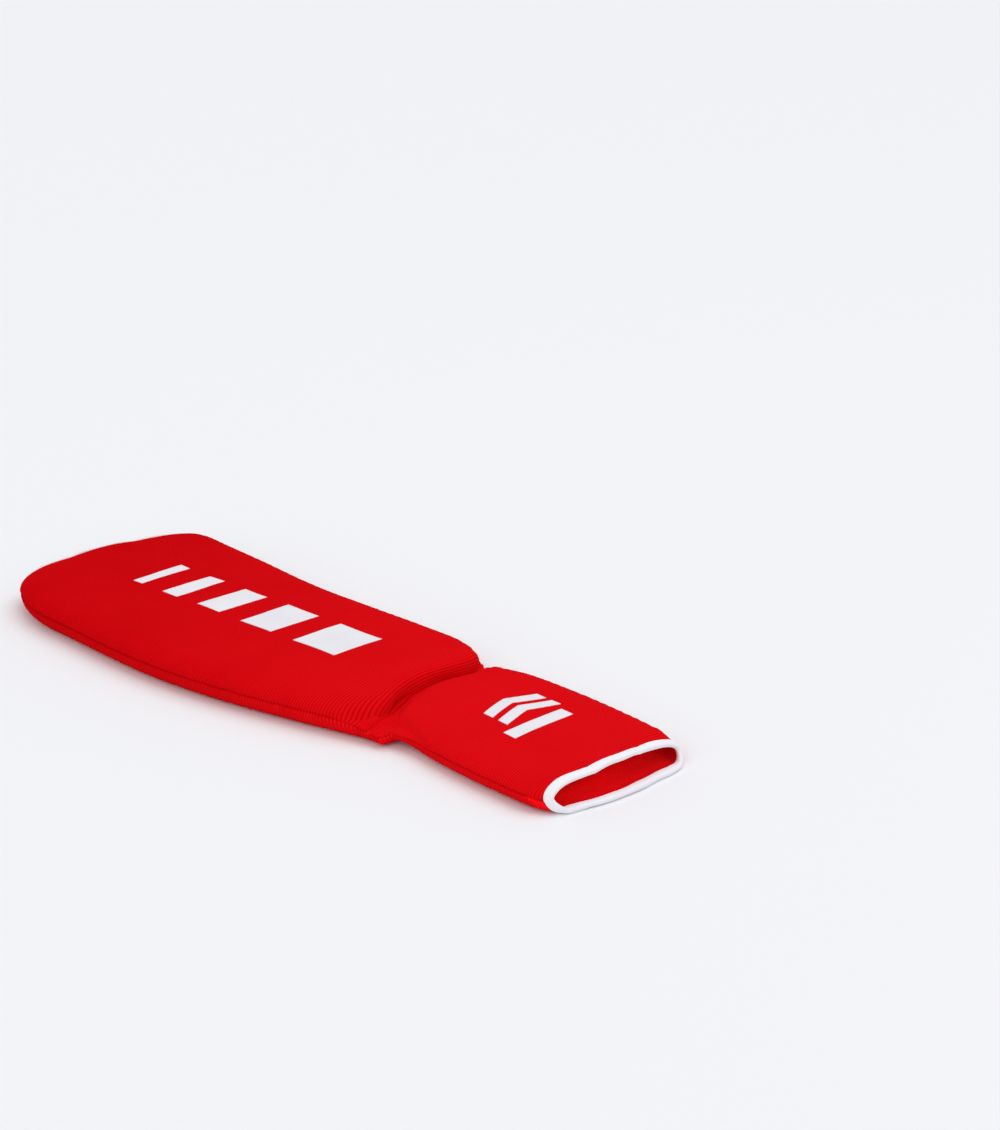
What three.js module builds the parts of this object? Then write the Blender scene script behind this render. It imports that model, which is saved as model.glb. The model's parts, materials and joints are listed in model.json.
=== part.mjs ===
// A slip-on knitted limb guard, lying flat with its printed side up: a long padded shin section and a short
// padded instep section, joined by a soft fold that has a heel opening on its underside.
// Millimetres, +Z up. +X runs from the shin's open end to the toe opening, +Y is the guard's left side, and the
// origin is on the resting plane under the middle of the guard.
import * as THREE from "three";
import { mergeVertices } from "three/addons/utils/BufferGeometryUtils.js";

// ---- Driving dimensions ----
const X_TOP = -225.5; // the shin's open end, before it is skewed
const X_TOE = 235; // the toe opening
const X_FOLD = 73;
const WIDTHS = [
  // place along the guard and half width of the laid-flat sleeve, before the corners of its ends are rounded
  [-232, 74.5],
  [-164, 74.5],
  [-61, 71.5],
  [21, 66.5],
  [57, 62.5],
  [73, 56],
  [92, 54.5],
  [146, 55.5],
  [236, 54],
];
const SWAY = [
  // place along the guard, and how far its middle lies to the left there, because it isn't laid quite straight
  [-232, 8.6],
  [-164, 2.1],
  [-61, -6.9],
  [21, -0.9],
  [73, 2.6],
  [146, 1.6],
  [236, -5.4],
];
const SKEW = { top: 0.2, toe: 0.05, reach: 70 }; // of each end's edge, and how far from the end it begins
const SETBACK = { most: 11, height: 19, reach: 34 }; // how far the toe opening's upper lip stands behind the lower
const HEIGHT = { shin: 22.5, instep: 17, fold: 9, topLip: 13.3, toeLip: 18.8 }; // of the outer face, at its crown
const RAMP = { shin: [3, 13], instep: [3, 18] }; // where each padded section rises, measured from the fold
const LIP_RAMP = { top: [4, 18], toe: [9, 34] }; // the same, measured from each lip
const CROWN = 1.5; // how much higher the middle of the outer face is than its shoulders
const KNIT = 1.4; // thickness of the elastic rib knit
const LINING = 1.0; // thickness of the cloth behind each pad
const GAP = 0.3; // left between neighbouring pieces
const TUNNEL_TOP = 8.4; // underside of the linings
const SEAM_HEIGHT = { body: 8, fold: 5, toeLip: 8 }; // of the side seams
const FOLD = { halfLength: 7, lift: 1 }; // the unpadded knit at the fold, held just clear of the resting plane
const PAD = { edge: 9, lipDistance: { shin: 17, instep: 20 } }; // how far inside the sleeve each foam pad stops
const LINING_END = { lipDistance: 15, foldDistance: { shin: 11.3, instep: 14 } }; // where each lining stops
const BINDING = { width: 7, wall: 0.9, lip: 1.5 }; // the edge tape folded over each open end
const CORNER = { top: [46, 26], toe: [24, 15] }; // how far each end's rounded corners reach along and across
const HEEL = { shinReach: 34, instepReach: 30, halfWidth: 43 }; // the heel opening, measured from the fold
const HEEL_EDGE = { width: 2.0, height: 1.6 }; // the overlocked edge round it
const SIDE_SEAM = { width: 3.0, height: 1.4, lipDistance: 26, foldDistance: 15 }; // the overlocked ridge inside it
const POCKET_SEAM = { width: 2.4, height: 1.4 }; // closes each pad's pocket at the fold
const FILM = 0.4; // thickness of the printed marks
const SHIN_PRINT = { x: -66.8, y: 6, length: 180, depth: 36, slant: 5, bars: [34, 26, 19, 13, 8] };
const INSTEP_PRINT = { x: 160, y: 6, turn: 6 }; // the middle of its bar, and how far it is turned, in degrees
const BAR = { length: 45, depth: 9.5 };
const CHEVRON = { depth: 7.5, rise: 6, width: 42, left: 6.5, starts: [-35.5, -23.5] }; // placed from the bar's middle

// ---- Places worked out from them ----
const LIP_LIFT = GAP + BINDING.wall; // the knit's rise at the lips, which lets the tape round it rest on the plane
const LIP_SETBACK = BINDING.lip + GAP; // the knit stops this far short of the tape's outer end
const SEAM_ANGLE = THREE.MathUtils.degToRad(88.5); // how far a panel wraps round towards the side seam
const SHOULDER = { shin: 20, instep: 17, under: 11, topLip: 34, toeLip: 30, underLip: 16 }; // of the rounded sides
const FLAT_SHARE = 0.5; // share of a panel's steps that lies on its flat middle

const materials = {
  knit: new THREE.MeshStandardMaterial({ color: 0xc8060c, roughness: 0.85 }),
  lining: new THREE.MeshStandardMaterial({ color: 0xa9060b, roughness: 0.9 }),
  foam: new THREE.MeshStandardMaterial({ color: 0xe9e6dc, roughness: 0.95 }),
  binding: new THREE.MeshStandardMaterial({ color: 0xf2f2f4, roughness: 0.8 }),
  thread: new THREE.MeshStandardMaterial({ color: 0xb8050a, roughness: 0.8 }),
  film: new THREE.MeshStandardMaterial({ color: 0xf5f5f7, roughness: 0.5 }),
};

// ---- Small helpers ----
const { lerp, clamp } = THREE.MathUtils;
const isShin = (x) => x < X_FOLD;

// 0 before a and 1 after b, turning smoothly between them; a may be the larger.
function ease(x, a, b) {
  const t = clamp((x - a) / (b - a), 0, 1);
  return t * t * (3 - 2 * t);
}

// ---- The laid-flat sleeve's shape, as functions of the place along it ----
// How much an end's rounded corner takes off the half width, at distance d from the lip.
function cornerInset(d, [along, across]) {
  if (d >= along) return 0;
  const k = 1 - Math.max(d, 0) / along;
  return across * (1 - Math.sqrt(1 - k * k));
}

// A smooth curve through a list of [place, value].
function curve(points) {
  const places = points.map(([place]) => place);
  const values = points.map(([, value]) => value);
  const interpolant = new THREE.CubicInterpolant(places, values, 1);
  return (x) => interpolant.evaluate(clamp(x, places[0], places.at(-1)))[0];
}

const bodyWidth = curve(WIDTHS);
const sway = curve(SWAY);

function halfWidth(x) {
  return bodyWidth(x) - cornerInset(x - X_TOP, CORNER.top) - cornerInset(X_TOE - x, CORNER.toe);
}

// 1 over the tape at a lip, and 0 further in.
const nearTopLip = (x) => ease(x, X_TOP + 22, X_TOP + 8);
const nearToeLip = (x) => ease(x, X_TOE - 24, X_TOE - 8);
const nearFold = (x) => Math.exp(-(((x - X_FOLD) / 12) ** 2));

function topHeight(x) {
  const a = Math.abs(X_FOLD - x);
  if (isShin(x)) {
    const padded = lerp(HEIGHT.fold, HEIGHT.shin, ease(a, ...RAMP.shin));
    return lerp(HEIGHT.topLip, padded, ease(x - X_TOP, ...LIP_RAMP.top));
  }
  const padded = lerp(HEIGHT.fold, HEIGHT.instep, ease(a, ...RAMP.instep));
  return lerp(HEIGHT.toeLip, padded, ease(X_TOE - x, ...LIP_RAMP.toe));
}

function bottomHeight(x) {
  const nearLip = Math.max(nearTopLip(x), nearToeLip(x));
  return LIP_LIFT * nearLip + FOLD.lift * ease(Math.abs(x - X_FOLD), 14, 8);
}

function seamHeight(x) {
  const middle = lerp(SEAM_HEIGHT.body, SEAM_HEIGHT.fold, nearFold(x));
  const atTop = lerp(middle, (topHeight(x) + bottomHeight(x)) / 2, nearTopLip(x));
  return lerp(atTop, SEAM_HEIGHT.toeLip, nearToeLip(x));
}

function shoulder(x) {
  const body = lerp(SHOULDER.shin, SHOULDER.instep, ease(x, X_FOLD - 12, X_FOLD + 12));
  return lerp(lerp(body, SHOULDER.topLip, nearTopLip(x)), SHOULDER.toeLip, nearToeLip(x));
}

const underShoulder = (x) => lerp(SHOULDER.under, SHOULDER.underLip, Math.max(nearTopLip(x), nearToeLip(x)));

// The shapes above are of a straight guard with square ends. This is where a point of it lies on the real one.
function lie(p) {
  const atTop = ease(p.x, X_TOP + SKEW.reach, X_TOP);
  const atToe = ease(p.x, X_TOE - SKEW.reach, X_TOE);
  const behind = SETBACK.most * clamp(p.z / SETBACK.height, 0, 1) * ease(p.x, X_TOE - SETBACK.reach, X_TOE);
  const skewed = p.y * (SKEW.top * atTop + SKEW.toe * atToe);
  return new THREE.Vector3(p.x + skewed - behind, p.y + sway(p.x), p.z);
}

// Height at (x, y) of the surface that lies an inset below the front's outer face.
function frontZ(x, y, inset) {
  const flat = halfWidth(x) - shoulder(x);
  const crown = CROWN * (1 - Math.min(1, Math.abs(y) / flat) ** 2);
  const rise = topHeight(x) - CROWN - inset - seamHeight(x);
  const k = Math.max(0, Math.abs(y) - flat) / (shoulder(x) - inset);
  return seamHeight(x) + rise * Math.sqrt(Math.max(0, 1 - k * k)) + crown;
}

// A point of the front, an inset below its outer face: t runs from -1 at one side seam to 1 at the other. Past 1 it
// goes on down the side and under, which only the knit at the fold uses.
function frontPoint(x, t, inset) {
  const flat = halfWidth(x) - shoulder(x);
  const side = Math.sign(t);
  const k = Math.abs(t);
  if (k > 1) return backPoint(x, side * (2 - k), inset);
  if (k <= FLAT_SHARE) {
    const y = (flat * t) / FLAT_SHARE;
    return new THREE.Vector3(x, y, frontZ(x, y, inset));
  }
  const angle = ((k - FLAT_SHARE) / (1 - FLAT_SHARE)) * SEAM_ANGLE;
  const rise = topHeight(x) - CROWN - inset - seamHeight(x);
  const y = flat + (shoulder(x) - inset) * Math.sin(angle);
  return new THREE.Vector3(x, side * y, seamHeight(x) + rise * Math.cos(angle));
}

function backPoint(x, t, inset) {
  const flat = halfWidth(x) - underShoulder(x);
  const side = Math.sign(t);
  const k = Math.abs(t);
  const low = bottomHeight(x) + inset;
  if (k <= FLAT_SHARE) return new THREE.Vector3(x, (flat * t) / FLAT_SHARE, low);
  const angle = ((k - FLAT_SHARE) / (1 - FLAT_SHARE)) * SEAM_ANGLE;
  const y = flat + (underShoulder(x) - inset) * Math.sin(angle);
  return new THREE.Vector3(x, side * y, seamHeight(x) - (seamHeight(x) - low) * Math.cos(angle));
}

// ---- Solid builders ----
function closedGeometry(points, triangles) {
  const geometry = new THREE.BufferGeometry();
  const position = new THREE.Float32BufferAttribute(points.flatMap((p) => lie(p).toArray()), 3);
  geometry.setAttribute("position", position);
  geometry.setIndex(triangles.flat());
  return mergeVertices(geometry, 1e-4);
}

// A sheet with thickness. upper(u, v) and lower(u, v) are its two faces, for the values in the lists us and vs.
// The directions of u, of v and from lower to upper are a right-handed set, so that the faces point out.
function thickSheet(us, vs, upper, lower) {
  const points = [];
  const triangles = [];
  const nu = us.length - 1;
  const nv = vs.length - 1;
  const at = (i, j, side) => (i * (nv + 1) + j) * 2 + side;
  const quad = (a, b, c, d) => triangles.push([a, b, c], [a, c, d]);
  for (const u of us)
    for (const v of vs) {
      points.push(upper(u, v));
      points.push(lower(u, v));
    }
  for (let i = 0; i < nu; i++) {
    for (let j = 0; j < nv; j++) {
      quad(at(i, j, 0), at(i + 1, j, 0), at(i + 1, j + 1, 0), at(i, j + 1, 0));
      quad(at(i, j, 1), at(i, j + 1, 1), at(i + 1, j + 1, 1), at(i + 1, j, 1));
    }
    quad(at(i, 0, 0), at(i, 0, 1), at(i + 1, 0, 1), at(i + 1, 0, 0));
    quad(at(i, nv, 0), at(i + 1, nv, 0), at(i + 1, nv, 1), at(i, nv, 1));
  }
  for (let j = 0; j < nv; j++) {
    quad(at(0, j, 0), at(0, j + 1, 0), at(0, j + 1, 1), at(0, j, 1));
    quad(at(nu, j, 0), at(nu, j, 1), at(nu, j + 1, 1), at(nu, j + 1, 0));
  }
  return closedGeometry(points, triangles);
}

// A closed ring: a section of [out, along] corners carried round by place(s, out, along), for s from 0 to 1.
function closedRing(count, section, place) {
  const points = [];
  const triangles = [];
  const m = section.length;
  for (let i = 0; i < count; i++)
    for (const [out, along] of section) points.push(place(i / count, out, along));
  for (let i = 0; i < count; i++)
    for (let j = 0; j < m; j++) {
      const next = (i + 1) % count;
      const k = (j + 1) % m;
      triangles.push([i * m + j, i * m + k, next * m + k]);
      triangles.push([i * m + j, next * m + k, next * m + j]);
    }
  return closedGeometry(points, triangles);
}

const evenly = (from, to, steps) => Array.from({ length: steps + 1 }, (_, i) => lerp(from, to, i / steps));

// Stations along the guard, closer together at the lips and at the fold, so that every piece bends at the same ones.
const STATIONS = [
  ...evenly(X_TOP + 7, X_TOP + 46, 9),
  ...evenly(X_TOP + 66, X_FOLD - 42, 8),
  ...evenly(X_FOLD - 34, X_FOLD - 10, 6),
  ...evenly(X_FOLD + 10, X_FOLD + 30, 5),
  ...evenly(X_FOLD + 46, X_TOE - 34, 4),
  ...evenly(X_TOE - 28, X_TOE - 7, 6),
];

function stationsBetween(x0, x1) {
  const inside = STATIONS.filter((x) => x > x0 + 0.5 && x < x1 - 0.5);
  return [x0, ...inside, x1];
}

const guard = new THREE.Group();
function add(name, material, geometry) {
  const mesh = new THREE.Mesh(geometry, material);
  mesh.name = name;
  guard.add(mesh);
}

// ---- Knit panels ----
const ACROSS = evenly(-1, 1, 24); // a panel's steps from one side seam to the other

function frontPanel(x0, x1) {
  const face = (inset) => (x, t) => frontPoint(x, t, inset);
  return thickSheet(stationsBetween(x0, x1), ACROSS, face(0), face(KNIT));
}

// The heel opening's edge is deepest in the middle of each section and comes up to the fold at the sides.
const HEEL_START = FOLD.halfLength + GAP;
function heelX(section, t) {
  const outward = section === "shin" ? -1 : 1;
  const reach = section === "shin" ? HEEL.shinReach : HEEL.instepReach;
  const y = backPoint(X_FOLD + outward * HEEL_START, t, 0).y;
  const share = Math.min(1, Math.abs(y) / HEEL.halfWidth) ** 3;
  return X_FOLD + outward * lerp(reach, HEEL_START, share);
}

// A back panel from its lip to the heel opening. The stations past the opening's deepest point close up towards it.
function backPanel(section, xLip) {
  const x0 = Math.min(xLip, X_FOLD + HEEL_START);
  const x1 = Math.max(xLip, X_FOLD - HEEL_START);
  const fold = section === "shin" ? x1 : x0;
  const deepest = heelX(section, 0);
  const face = (inset) => (station, t) => {
    const share = (station - deepest) / (fold - deepest);
    const x = share > 0 ? lerp(deepest, heelX(section, t), share) : station;
    return backPoint(x, t, inset);
  };
  return thickSheet(stationsBetween(x0, x1), ACROSS, face(KNIT), face(0));
}

function knitPanels() {
  const ends = { shin: X_TOP + LIP_SETBACK, instep: X_TOE - LIP_SETBACK };
  add("shin_front_knit", materials.knit, frontPanel(ends.shin, X_FOLD - HEEL_START));
  add("instep_front_knit", materials.knit, frontPanel(X_FOLD + HEEL_START, ends.instep));
  add("shin_back_knit", materials.knit, backPanel("shin", ends.shin));
  add("instep_back_knit", materials.knit, backPanel("instep", ends.instep));

  // The knit at the fold reaches round both sides and under, as far as the heel opening.
  const flatUnder = halfWidth(X_FOLD) - underShoulder(X_FOLD);
  const reach = 2 - (FLAT_SHARE * (HEEL.halfWidth + GAP)) / flatUnder;
  const xs = evenly(X_FOLD - FOLD.halfLength, X_FOLD + FOLD.halfLength, 4);
  const ts = evenly(-reach, reach, 36);
  const face = (inset) => (x, t) => frontPoint(x, t, inset);
  add("ankle_fold_knit", materials.knit, thickSheet(xs, ts, face(0), face(KNIT)));
}

// ---- Pads, their linings and the seams that close their pockets at the fold ----
function padPocket(section) {
  const outward = section === "shin" ? -1 : 1;
  const lip = section === "shin" ? X_TOP : X_TOE;
  const fromFold = (distance) => X_FOLD + outward * distance;
  const spread = (a, b) => stationsBetween(Math.min(a, b), Math.max(a, b));
  const across = evenly(-1, 1, 12);
  const level = (edge, z) => (x, v) => new THREE.Vector3(x, v * (halfWidth(x) - edge), z);
  const foamTop = (x, v) => {
    const y = v * (halfWidth(x) - PAD.edge);
    return new THREE.Vector3(x, y, frontZ(x, y, KNIT + 2 * GAP));
  };
  const liningTop = TUNNEL_TOP + LINING;
  const liningEdge = KNIT + GAP + SIDE_SEAM.width + GAP;
  const liningEnd = LINING_END.foldDistance[section];
  const seamEnd = liningEnd + POCKET_SEAM.width;
  const padXs = spread(lip - outward * PAD.lipDistance[section], fromFold(seamEnd + GAP));
  const liningXs = spread(lip - outward * LINING_END.lipDistance, fromFold(liningEnd));
  const seamXs = spread(fromFold(liningEnd), fromFold(seamEnd));
  const foam = thickSheet(padXs, across, foamTop, level(PAD.edge, liningTop + GAP));
  const lining = thickSheet(liningXs, [-1, 1], level(liningEdge, liningTop), level(liningEdge, TUNNEL_TOP));
  const seamTop = liningTop + GAP + POCKET_SEAM.height;
  const seam = thickSheet(seamXs, [-1, 1], level(PAD.edge, seamTop), level(PAD.edge, liningTop + GAP));
  add(`${section}_foam_pad`, materials.foam, foam);
  add(`${section}_pad_lining`, materials.lining, lining);
  add(`${section}_pocket_seam`, materials.thread, seam);
}

// ---- Side seams ----
function sideSeam(section, side, x0, x1) {
  const face = (z) => (x, inset) => new THREE.Vector3(x, side * (halfWidth(x) - inset), seamHeight(x) + z);
  const insets = [KNIT + GAP, KNIT + GAP + SIDE_SEAM.width];
  const widths = side > 0 ? insets.reverse() : insets;
  const geometry = thickSheet(stationsBetween(x0, x1), widths, face(SIDE_SEAM.height / 2), face(-SIDE_SEAM.height / 2));
  add(`${section}_side_seam_${side > 0 ? "left" : "right"}`, materials.thread, geometry);
}

// ---- The tape folded over each open end ----
function openingBinding(name, xLip) {
  const inward = xLip < X_FOLD ? 1 : -1;
  // s goes once round the opening, out is measured out of the knit's outer face, and along from the lip inwards.
  const place = (s, out, along) => {
    const x = xLip + inward * along;
    const t = 4 * s;
    return t <= 2 ? frontPoint(x, t - 1, -out) : backPoint(x, 3 - t, -out);
  };
  const { width, wall, lip } = BINDING;
  const outer = GAP + wall;
  const inner = -(KNIT + GAP);
  const section = [
    [outer, lip * 0.5],
    [outer, width],
    [GAP, width],
    [GAP, lip],
    [inner, lip],
    [inner, width],
    [inner - wall, width],
    [inner - wall, lip * 0.5],
    [inner * 0.5, 0],
  ];
  if (inward < 0) section.reverse();
  add(`${name}_opening_binding`, materials.binding, closedRing(72, section, place));
}

// ---- The overlocked edge of the heel opening ----
function heelEdge(section) {
  const inward = section === "shin" ? 1 : -1;
  const ts = ACROSS.filter((t) => Math.abs(backPoint(X_FOLD, t, 0).y) < HEEL.halfWidth);
  if (inward < 0) ts.reverse();
  const face = (z) => (offset, t) => {
    const x = heelX(section, t);
    return new THREE.Vector3(x + inward * offset, backPoint(x, t, 0).y, z);
  };
  const geometry = thickSheet([GAP, GAP + HEEL_EDGE.width], ts, face(HEEL_EDGE.height), face(0));
  add(`${section}_heel_edge`, materials.thread, geometry);
}

// ---- Printed marks, which follow the crowned front ----
function printed(name, us, vs, place) {
  const face = (lift) => (u, v) => {
    const [x, left] = place(u, v);
    const y = left - sway(x); // the marks are printed straight, whatever way the sleeve lies
    return new THREE.Vector3(x, y, frontZ(x, y, 0) + lift);
  };
  add(name, materials.film, thickSheet(us, vs, face(GAP + FILM), face(GAP)));
}

// A row of slanted bars that get narrower towards the open end.
function shinPrint() {
  const { x, y, length, depth, slant, bars } = SHIN_PRINT;
  const spare = length - slant - bars.reduce((sum, width) => sum + width, 0);
  const gap = spare / (bars.length - 1);
  let start = x + length / 2;
  bars.forEach((width, i) => {
    const left = start - width;
    const place = (u, v) => [left + u - slant * (0.5 - v / depth), y + v];
    printed(`shin_print_bar_${i + 1}`, evenly(0, width, 2), evenly(-depth / 2, depth / 2, 4), place);
    start -= width + gap;
  });
}

// Two nested chevrons that point to the shin, over one bar.
function instepPrint() {
  const { x, y } = INSTEP_PRINT;
  const turn = THREE.MathUtils.degToRad(INSTEP_PRINT.turn);
  const turned = (along, across) => [
    x + along * Math.cos(turn) + across * Math.sin(turn),
    y + across * Math.cos(turn) - along * Math.sin(turn),
  ];
  const barUs = evenly(-BAR.depth / 2, BAR.depth / 2, 2);
  const barVs = evenly(-BAR.length / 2, BAR.length / 2, 6);
  printed("instep_print_bar", barUs, barVs, turned);
  CHEVRON.starts.forEach((start, i) => {
    const place = (u, v) => turned(start + u + CHEVRON.rise * Math.abs(v), CHEVRON.left + (v * CHEVRON.width) / 2);
    printed(`instep_print_chevron_${i + 1}`, evenly(0, CHEVRON.depth, 2), evenly(-1, 1, 8), place);
  });
}

knitPanels();
for (const section of ["shin", "instep"]) {
  padPocket(section);
  heelEdge(section);
}
for (const side of [1, -1]) {
  const { lipDistance, foldDistance } = SIDE_SEAM;
  sideSeam("shin", side, X_TOP + lipDistance, X_FOLD - foldDistance);
  sideSeam("instep", side, X_FOLD + foldDistance, X_TOE - lipDistance);
}
openingBinding("top", X_TOP);
openingBinding("toe", X_TOE);
shinPrint();
instepPrint();

export default guard;
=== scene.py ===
"""A slip-on knitted limb guard lying flat on a pale floor, printed side up: its looks, around the CAD frame.

Shapes are worked out in millimetres and turned into metres when a mesh is made. The sleeve is described as if
it lay straight with square ends, by a place x along it and a place t across a panel (-1 and 1 are the side
seams), and lie() then puts each point where it is on the real one.
"""
import json
import math

import bpy
import numpy as np
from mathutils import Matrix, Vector


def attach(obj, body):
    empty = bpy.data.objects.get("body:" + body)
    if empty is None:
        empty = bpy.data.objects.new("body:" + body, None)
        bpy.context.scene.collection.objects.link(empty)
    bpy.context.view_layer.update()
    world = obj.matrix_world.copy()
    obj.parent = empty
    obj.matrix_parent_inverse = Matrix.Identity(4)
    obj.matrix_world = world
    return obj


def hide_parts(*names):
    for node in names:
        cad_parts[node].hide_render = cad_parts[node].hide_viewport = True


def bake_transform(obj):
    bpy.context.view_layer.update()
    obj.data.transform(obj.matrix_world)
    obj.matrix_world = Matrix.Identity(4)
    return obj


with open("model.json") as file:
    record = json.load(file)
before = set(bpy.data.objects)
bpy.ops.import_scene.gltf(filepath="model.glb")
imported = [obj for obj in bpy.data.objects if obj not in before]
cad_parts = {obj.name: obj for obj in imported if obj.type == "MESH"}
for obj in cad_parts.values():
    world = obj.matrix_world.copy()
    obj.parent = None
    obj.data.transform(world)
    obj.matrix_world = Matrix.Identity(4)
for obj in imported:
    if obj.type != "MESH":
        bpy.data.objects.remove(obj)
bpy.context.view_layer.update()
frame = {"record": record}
MM = 0.001

# ---- The sleeve's sizes, in millimetres ----
X_FOLD = frame["record"]["behaviour"]["joints"][0]["pos_m"][0] / MM
X_TOP = -225.5  # the shin's open end
X_TOE = 235.0  # the toe opening
# The sides: (place along the sleeve, place to the left).
LEFT_EDGE = [
    (-232, 85.5), (-164, 80), (-61, 68.3), (21, 67), (55, 65), (73, 60.5), (92, 59.5), (110, 62), (146, 61),
    (174, 58.5), (208, 53.6), (236, 48.5),
]
RIGHT_EDGE = [
    (-232, -64.5), (-164, -70.5), (-61, -76), (21, -65.5), (55, -58), (72, -52.5), (80, -51), (87, -52.5),
    (93, -47), (100, -46), (112, -45.5), (125, -48), (146, -51), (178, -54), (208, -55), (236, -53.5),
]
# The fold's bends and its height: (place to the left, distance along or up).
FOLD_LINE = [(-50, 9), (-30, 7), (-15, 3), (5, 2), (28, 6), (40, 6.5), (50, 4), (62, -5)]
FOLD_HEIGHT = [(-50, 9), (-30, 9), (-16, 9.5), (0, 11.5), (18, 13.5), (36, 13), (50, 10.5), (60, 8)]
FOLD_REACH = 17  # how far from the fold its bends are felt
PAD_CORNER = {  # how far the pads' rounded corners at the fold reach, across and along
    "shin": {"left": (12, 8), "right": (26, 15)},
    "instep": {"left": (14, 8), "right": (32, 60)},
}
# The open ends' own lines: (place to the left, how far along the end stands there).
TOP_LINE = [(-76, -9), (-40, -6.5), (0, 0), (60, 13), (80, 16)]
TOE_LINE = [
    (-60, -19), (-48, -14), (-37, -10.5), (-24, -5.5), (-13, -2.5), (0, 0),
    (21, 1), (34, 2), (46, 1), (58, -4),
]
LINE_REACH = {"top": 70, "toe": 45}  # how far from each end its line begins to show
SETBACK = {"most": 11, "height": 19, "reach": 34}  # how far the toe's upper lip stands behind the lower
HEIGHT = {"shin": 22.8, "instep": 17.2, "top_lip": 19.5, "toe_lip": 18.6}  # of the printed side, at its crown
LEAST_RISE = 2.2  # of the printed side's crown over the side seams
RAMP = {"shin": (0, 9), "instep": (0.5, 16)}  # where each pad starts and reaches its height, from the fold
LIP_RAMP = {"top": (0, 15), "toe": (9, 34)}  # the same, from each lip
CROWN = 1.5  # how much higher the middle is than the shoulders
KNIT = 1.4  # thickness
SEAM = {"shin": 11.5, "instep": 9.5, "fold": 6.5, "toe_lip": 8}  # height of the side seams
SHOULDER = {  # width of the rounded sides
    "shin": 20, "instep": 18, "under": 10, "top_lip": 34, "toe_lip": 30, "under_top": 16, "under_toe": 9,
}
CORNER = {  # how far the open ends' rounded corners reach, along and across
    "top": {"left": (38, 26), "right": (55, 40)},
    "toe": {"left": (14, 9), "right": (18, 9.5)},
}
LIP_LIFT = {"top": 3.2, "toe": 0.7}  # the knit's rise at the lips, for the tape under it
WAIST_LIFT = {"x": 99, "reach": 10, "most": 3}  # where the underside stands off the floor
SEAM_TUCK = {"x": 88, "reach": 20, "in": 6, "down": 1.6}  # where the seams' thread keeps clear of the folds
LIP_SETBACK = 2.0  # of the knit's edge, inside the tape
HEEL = {"shin_reach": 34, "instep_reach": 30, "half_width": 43, "start": 7.3}  # the opening, from the fold
FLAT_SHARE = 0.46  # share of a panel's columns that lie on its flat middle
TUNNEL_TOP = 8.4  # height of the linings' underside, where they lie flat
LINING = 1.0  # room for the lining between the tunnel and the pad
PAD_BOTTOM = TUNNEL_TOP + LINING + 0.3

# ---- The knit's detail ----
STATION = 0.6  # between the knit's rows of vertices
RIB = 3 * STATION  # from rib to rib
RIB_DEPTH = 0.045
SEAM_DEPTH = 1.7
TUCK_DEPTH = 1.3  # how far the knit is drawn in along the fold
PIT = {"left": -18, "reach": 9, "extra": 2.2}  # where it is drawn in deepest
SIDE_FOLDS = [  # small folds at the sides of the fold: side, place, how far it leans per millimetre, depth
    (-1, 84, 0.4, 1.3), (-1, 95.5, 0.5, 2.0), (-1, 104, 0.2, 0.8), (1, 78, 0.3, 1.4), (1, 90, 0.4, 1.0),
]


# ---- Small helpers ----
def ease(x, a, b):
    """0 before a and 1 after b, turning smoothly between them; a may be the larger."""
    t = np.clip((np.asarray(x, float) - a) / (b - a), 0, 1)
    return t * t * (3 - 2 * t)


def mix(a, b, share):
    return a + (b - a) * share


def bell(x, middle, spread):
    return np.exp(-(((x - middle) / spread) ** 2))


def curve(points):
    """A smooth curve through (place, value) points, as a function of the place."""
    places, values = np.array(points, float).T
    slopes = np.gradient(values, places)

    def at(x):
        x = np.clip(x, places[0], places[-1])
        i = np.clip(np.searchsorted(places, x) - 1, 0, len(places) - 2)
        step = places[i + 1] - places[i]
        t = (x - places[i]) / step
        rise = values[i + 1] - values[i]
        cubic = values[i] + rise * t * t * (3 - 2 * t)
        return cubic + step * t * (1 - t) * (slopes[i] * (1 - t) - slopes[i + 1] * t)

    return at


def waves(seed, longest, shortest, count=9):
    """A smooth random field over a plane, from about -1 to 1, made of sine waves between two lengths."""
    rng = np.random.default_rng(seed)
    lengths = np.geomspace(longest, shortest, count)
    angles = rng.uniform(0, math.pi, count)
    phases = rng.uniform(0, 2 * math.pi, count)

    def at(a, b=0.0):
        total = 0.0
        for length, angle, phase in zip(lengths, angles, phases):
            total = total + np.sin((a * math.cos(angle) + b * math.sin(angle)) * 2 * math.pi / length + phase)
        return total / math.sqrt(count)

    return at


def unit(v):
    return v / np.maximum(np.linalg.norm(v, axis=-1, keepdims=True), 1e-9)


# ---- The shape of the laid-flat sleeve ----
left_side = curve(LEFT_EDGE)
right_side = curve(RIGHT_EDGE)
fold_line = curve(FOLD_LINE)
fold_height = curve(FOLD_HEIGHT)
top_line = curve(TOP_LINE)
toe_line = curve(TOE_LINE)


def corner_inset(d, corner):
    along, across = corner
    k = 1 - np.clip(d, 0, along) / along
    return across * (1 - np.sqrt(1 - k * k))


def side_inset(x, side):
    """How much the rounded corners take off one side."""
    return corner_inset(x - X_TOP, CORNER["top"][side]) + corner_inset(X_TOE - x, CORNER["toe"][side])


def half_width(x):
    return (left_side(x) - side_inset(x, "left") - right_side(x) - side_inset(x, "right")) / 2


def middle(x):
    """How far the sleeve's middle lies to the left."""
    return (left_side(x) - side_inset(x, "left") + right_side(x) + side_inset(x, "right")) / 2


def near_top(x):
    return ease(x, X_TOP + 22, X_TOP + 8)


def near_toe(x):
    return ease(x, X_TOE - 24, X_TOE - 8)


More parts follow.
